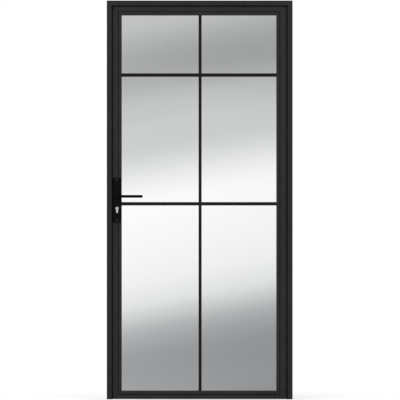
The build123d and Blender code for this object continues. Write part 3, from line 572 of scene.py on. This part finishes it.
def socket_screw(head, shank, socket, length):
    """A countersunk screw along z, its head at the origin. Head, shank and socket are radii."""
    fresh()
    sink = head - shank
    bpy.ops.mesh.primitive_cone_add(
        vertices=SCREW_SIDES, radius1=head, radius2=shank, depth=sink, location=(0, 0, sink / 2)
    )
    screw = bpy.context.object
    bpy.ops.object.transform_apply(location=True)
    pick_faces(screw, (0, 0, 1))
    bpy.ops.mesh.extrude_region_move(TRANSFORM_OT_translate={"value": (0, 0, length - sink)})
    bpy.ops.object.mode_set(mode="OBJECT")
    apply_modifier(screw, "BEVEL", width=head * RIM_SHARE, segments=RIM_STEPS,
                   limit_method="ANGLE", angle_limit=RIM_ANGLE)
    fresh()
    cut = 2 * SOCKET_DEPTH_SHARE * sink
    bpy.ops.mesh.primitive_cylinder_add(vertices=SOCKET_SIDES, radius=socket, depth=cut, location=(0, 0, 0))
    cutter = bpy.context.object
    apply_modifier(screw, "BOOLEAN", operation="DIFFERENCE", object=cutter, solver="EXACT")
    bpy.data.objects.remove(cutter)
    return screw


small_screw = socket_screw(SMALL_HEAD, SMALL_SHANK, SMALL_SOCKET, SMALL_LENGTH)
plate_screw = socket_screw(LARGE_HEAD, LARGE_SHANK, LARGE_SOCKET, PLATE_LENGTH)
cylinder_screw = socket_screw(LARGE_HEAD, LARGE_SHANK, LARGE_SOCKET, CYLINDER_LENGTH)
print("screw faces:", len(small_screw.data.polygons), len(plate_screw.data.polygons))

# %% [markdown]
# ## Setting the screws
# Copies of a screw go to every place where the solid model has one. Copies that share one mesh
# would save memory, but each place has to be in the mesh itself, so each copy gets its own and the
# copies are joined into one piece. The model points up, and a turn lays it along the way it is
# driven.

# %% A way to set screws
TURN = {
    "+y": (-math.pi / 2, 0, 0),
    "-y": (math.pi / 2, 0, 0),
    "+x": (0, math.pi / 2, 0),
    "-x": (0, -math.pi / 2, 0),
}


def set_screws(name, body, finish, slot, sets, *stands_for):
    """Copies of screws at their places, joined into one piece. A set is a screw, a way and its places."""
    copies = []
    for screw, way, places in sets:
        for place in places:
            copy = screw.copy()
            copy.data = screw.data.copy()
            bpy.context.collection.objects.link(copy)
            copy.location = place
            copy.rotation_euler = TURN[way]
            copies.append(copy)
    join_into(copies[0], copies[1:])
    finish_piece(copies[0], name, body, finish, slot, *stands_for)


def middle(node):
    """The middle of a solid's box."""
    low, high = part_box(node)
    return (low + high) / 2


def ends(low, high, inset):
    """Two places, each an inset away from an end."""
    return (low + inset, high - inset)


print("ways a screw can be driven:", list(TURN))

# %% [markdown]
# ## Handle and rail screws
# Two screws hold the handle plates, near their ends, and two small ones stand in the foot rail.
# Their places could be typed in, but read from the boxes of the solids they follow the solid model
# when it changes. The box of a row of screws ends one head radius outside the last screw's axis.

# %% Screws on the front
PLATE_SCREW_INSET = 0.012
plate_low, plate_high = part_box("plate_front")
plate_x = middle("plate_front").x
plate_places = [(plate_x, plate_low.y, z) for z in ends(plate_low.z, plate_high.z, PLATE_SCREW_INSET)]
set_screws("plate_screws_socketed", "leaf", "black_oxide", "black_screws",
           [(plate_screw, "+y", plate_places)], "plate_screws")

foot_low, foot_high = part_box("rail_foot_screws")
foot_z = middle("rail_foot_screws").z
foot_places = [(x, foot_low.y, foot_z) for x in ends(foot_low.x, foot_high.x, SMALL_HEAD)]
set_screws("rail_foot_screws_socketed", "leaf", "black_oxide", "black_screws",
           [(small_screw, "+y", foot_places)], "rail_foot_screws")

# %% [markdown]
# ## Hinge screws
# Each hinge has three screws in its frame wing, in one row, and four in its leaf wing, in two rows
# with the middle left free. They are driven from the rear, so they point to the front.

# %% Screws in the hinges
WING_SCREW_PITCH = 0.044
hinge_z = [middle(f"hinge_{at}_frame_half").z for at in HINGES]
fixed_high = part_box("hinge_frame_screws")[1]
fixed_x = middle("hinge_frame_screws").x
fixed_rises = (-WING_SCREW_PITCH, 0, WING_SCREW_PITCH)
fixed_places = [(fixed_x, fixed_high.y, z + rise) for z in hinge_z for rise in fixed_rises]
set_screws("hinge_frame_screws_socketed", "frame", "black_oxide", "black_screws",
           [(small_screw, "-y", fixed_places)], "hinge_frame_screws")

swing_low, swing_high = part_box("hinge_leaf_screws")
swing_x = ends(swing_low.x, swing_high.x, SMALL_HEAD)
swing_rises = (-WING_SCREW_PITCH, WING_SCREW_PITCH)
swing_places = [(x, swing_high.y, z + rise) for x in swing_x for z in hinge_z for rise in swing_rises]
set_screws("hinge_leaf_screws_socketed", "leaf", "black_oxide", "black_screws",
           [(small_screw, "-y", swing_places)], "hinge_leaf_screws")

# %% [markdown]
# ## Lock and strike screws
# These sit in the edges of the leaf and the jamb and show when the door is open. They are bright
# steel. The long one in the forend holds the key cylinder and sits below its axis. The models of
# the screws have then done their work and are removed.

# %% Screws in the edges
CYLINDER_SCREW_DROP = 0.020
strike_low, strike_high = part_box("strike_screws")
strike_places = [(strike_high.x, 0, z) for z in ends(strike_low.z, strike_high.z, SMALL_HEAD)]
set_screws("strike_screws_socketed", "frame", "brushed_steel", "bright_steel",
           [(small_screw, "-x", strike_places)], "strike_screws")

lock_low, lock_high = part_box("lock_screws")
lock_places = [(lock_low.x, 0, z) for z in ends(lock_low.z, lock_high.z, SMALL_HEAD)]
cylinder_places = [(lock_low.x, 0, middle("plug_front").z - CYLINDER_SCREW_DROP)]
set_screws("lock_screws_socketed", "leaf", "brushed_steel", "bright_steel",
           [(small_screw, "+x", lock_places), (cylinder_screw, "+x", cylinder_places)], "lock_screws")
for screw in (small_screw, plate_screw, cylinder_screw):
    bpy.data.objects.remove(screw)

# %% [markdown]
# ## The keyway
# The plug of the key cylinder is cut with a plain slot. Inside a real one it is in shade, and two wards
# stand into it from the sides so that only the right key passes. The slot could be painted dark, but
# the wards are shapes. So the lining is a dark sheet of painted shade: a box with its outer end open,
# given a little thickness, and the wards are two small blocks joined to it. Front and rear differ only
# in the way they look.

# %% Keyway lining and wards
# Sizes are width, depth and height.
KEYWAY = Vector((0.0029, 0.010, 0.0083))
WARD = Vector((0.0011, 0.009, 0.0012))
WARD_SIDES_AND_RISES = ((-1, 0.0012), (1, -0.0016))
LINING_WALL, LINING_RECESS = 0.00025, 0.0004


def block(size, place):
    """A box of a size at a place."""
    fresh()
    bpy.ops.mesh.primitive_cube_add(size=1.0, location=place)
    made = bpy.context.object
    made.scale = size
    bpy.ops.object.transform_apply(location=True, rotation=True, scale=True)
    return made


def key_lining(name, body, plug, way):
    """Dark lining of painted shade in one keyway; way is -1 at the front and +1 at the rear."""
    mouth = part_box(plug)[0].y if way < 0 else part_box(plug)[1].y
    centre = middle(plug)
    depth = mouth - way * (LINING_RECESS + KEYWAY.y / 2)
    # The lining is a dark sheet of painted shade set just inside the mouth of the slot.
    lining = block(KEYWAY, (centre.x, depth, centre.z))
    pick_faces(lining, (0, way, 0))
    bpy.ops.mesh.delete(type="FACE")
    bpy.ops.object.mode_set(mode="OBJECT")
    apply_modifier(lining, "SOLIDIFY", thickness=LINING_WALL, offset=-1.0)
    wards = [
        block(WARD, (centre.x + side * (KEYWAY.x - WARD.x) / 2, depth, centre.z + rise))
        for side, rise in WARD_SIDES_AND_RISES
    ]
    join_into(lining, wards)
    finish_piece(lining, name, body, "keyway_painted_shade", "nickel_brass")


key_lining("keyway_front", "front_key", "plug_front", -1)
key_lining("keyway_rear", "rear_key", "plug_rear", 1)

# %% [markdown]
# ## The brush at the foot
# The solid model holds the brush seal as one bar. The real pile stands in small tufts that spread
# towards the floor. Single hairs would be far too many faces for what one sees, so one tuft is a
# block whose lower face is widened, and an array repeats it along the leaf. The streaks in its
# finish do the rest.

# %% Brush tufts
TUFT_PITCH, TUFT_WIDTH_SHARE, TUFT_DEPTH_SHARE = 0.004, 0.78, 0.8
TUFT_SPREAD = (1.25, 1.2, 1.0)
brush_low, brush_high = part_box("brush_seal")
brush_size = brush_high - brush_low
tuft_size = (TUFT_PITCH * TUFT_WIDTH_SHARE, brush_size.y * TUFT_DEPTH_SHARE, brush_size.z)
tuft_x = brush_low.x + TUFT_PITCH / 2
brush = block(tuft_size, (tuft_x, 0, middle("brush_seal").z))
pick_faces(brush, (0, 0, -1))
bpy.ops.transform.resize(value=TUFT_SPREAD, center_override=(tuft_x, 0, brush_low.z))
bpy.ops.object.mode_set(mode="OBJECT")
count = int(brush_size.x / TUFT_PITCH)
apply_modifier(brush, "ARRAY", count=count, use_relative_offset=False, use_constant_offset=True,
               constant_offset_displace=(TUFT_PITCH, 0, 0))
finish_piece(brush, "brush_tufts", "leaf", "brush_pile", "brush_pile", "brush_seal")

# %% [markdown]
# ## The floor
# The door stands on a pale floor in front of white. The floor keeps the door's shadow, and fades to
# the white of the background a step away from it, so that its rim doesn't show. More light would
# also make it white, but would bleach the door as well. So what looks at the floor directly sees a
# mix of the lit floor and plain white, and the light that bounces off it sees the lit floor alone.

# %% Floor plane
FLOOR_SIZE, FLOOR_MIDDLE = (9.0, 8.0, 1.0), (0, -0.6, 0)
fresh()
bpy.ops.mesh.primitive_plane_add(size=1.0, location=FLOOR_MIDDLE)
floor = bpy.context.object
floor.scale = FLOOR_SIZE
bpy.ops.object.transform_apply(location=True, rotation=True, scale=True)
floor.name = "floor"
print("floor:", floor.dimensions[:])


# %% Floor finish
def seen_directly(bench):
    """1 for rays that look at the background: from the camera, off gloss or through glass."""
    seen = bench.node("ShaderNodeLightPath", output="Is Camera Ray")
    for kind in ("Is Glossy Ray", "Is Transmission Ray"):
        seen = bench.maths("MAXIMUM", seen, bench.node("ShaderNodeLightPath", output=kind))
    return seen


SHADOW_MIDDLE, SHADOW_REACH = (0.1, 0.3, 0.0), 1.2
SHADOW_SHARE, SHADOW_STEEPNESS = 0.65, 1.6
bench = new_finish("pale_floor")
pale = bench.node("ShaderNodeBsdfPrincipled", {
    "Base Color": blend(bench, noise(bench, scale=3.0, detail=3.0), grey(0.84), grey(0.88)),
    "Roughness": 0.9,
    "Specular IOR Level": 0.0,
})
white = bench.node("ShaderNodeEmission", {"Color": grey(1.0), "Strength": 1.0})
shadow_spot = bench.node("ShaderNodeMapping", {
    "Vector": bench.node("ShaderNodeTexCoord", output="Object"),
    "Location": SHADOW_MIDDLE,
    "Scale": (SHADOW_REACH, SHADOW_REACH, SHADOW_REACH),
}, vector_type="TEXTURE")
inward = bench.node("ShaderNodeTexGradient", {0: shadow_spot}, output="Fac", gradient_type="SPHERICAL")
near = bench.maths("MINIMUM", SHADOW_STEEPNESS * inward, 1.0)
share_of_white = seen_directly(bench) * (1.0 - SHADOW_SHARE * near)
mixed = bench.node("ShaderNodeMixShader", {0: share_of_white, 1: pale, 2: white})
bench.node("ShaderNodeOutputMaterial", {"Surface": mixed})
dress(floor, "pale_floor")
print("floor nodes:", len(bench.tree.nodes))

# %% [markdown]
# ## The light
# The door is lit softly from all round, at a level where a colour renders about as it is written.
# The sky gives most of that light. It is a plain grey for what it lights and white for what looks
# at it, by the same word as the floor. Large lamps add the rest: a small lamp would draw hard
# streaks in the lacquer. They don't show through the glass.

# %% Sky
SKY_LEVEL = 0.62
world = bpy.data.worlds.new("studio")
bpy.context.scene.world = world
world.use_nodes = True
world.node_tree.nodes.clear()
bench = Signal(world.node_tree)
soft = bench.node("ShaderNodeBackground", {"Color": grey(SKY_LEVEL), "Strength": 1.0})
white = bench.node("ShaderNodeBackground", {"Color": grey(1.0), "Strength": 1.0})
both = bench.node("ShaderNodeMixShader", {0: seen_directly(bench), 1: soft, 2: white})
bench.node("ShaderNodeOutputWorld", {"Surface": both})
print("sky:", SKY_LEVEL)


# %% Lamps
def lamp(name, place, aim, width, power):
    """A square lamp at a place, turned to what it lights; its power is in watts."""
    data = bpy.data.lights.new(name, "AREA")
    data.shape = "RECTANGLE"
    data.size = data.size_y = width
    data.energy = power
    light = bpy.data.objects.new(name, data)
    bpy.context.collection.objects.link(light)
    light.location = place
    light.rotation_euler = (Vector(place) - aim).to_track_quat("Z", "Y").to_euler()
    light.visible_transmission = False


door_middle = (cad_box[0] + cad_box[1]) / 2
lamp("key", (-4.0, -7.0, 4.6), door_middle, width=3.2, power=190.0)
lamp("fill", (5.0, -6.0, 2.6), door_middle, width=3.0, power=90.0)
lamp("rear", (1.5, 4.0, 3.0), door_middle, width=2.4, power=60.0)
lamp("overhead", (0.0, 0.0, 6.0), Vector((0, 0, 0)), width=4.0, power=120.0)
print("lamps:", [light.name for light in bpy.data.lights])

# %% [markdown]
# ## The camera
# The camera stands far off with a long lens, square to the front, so that the uprights stay upright
# and nothing tapers. A camera without perspective would do that too, but a long lens keeps the
# slight depth that a real picture has. Its distance is worked out from the height that it has to
# see at the face of the frame.

# %% Camera
LENS, SENSOR = 500.0, 36.0
VIEW_HEIGHT, VIEW_RANGE = 2.1524, 200.0
CAMERA_ASIDE, CAMERA_HEIGHT = 0.00175, 1.0724
lens = bpy.data.cameras.new("camera")
lens.lens, lens.sensor_width = LENS, SENSOR
lens.clip_end = VIEW_RANGE
camera = bpy.data.objects.new("camera", lens)
bpy.context.collection.objects.link(camera)
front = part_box("stop_lock")[0].y
camera.location = (CAMERA_ASIDE, front - VIEW_HEIGHT * LENS / SENSOR, CAMERA_HEIGHT)
camera.rotation_euler = (math.pi / 2, 0, 0)
bpy.context.scene.camera = camera
bpy.context.scene.view_settings.view_transform = "Standard"
print("camera distance:", round(-camera.location.y, 2))
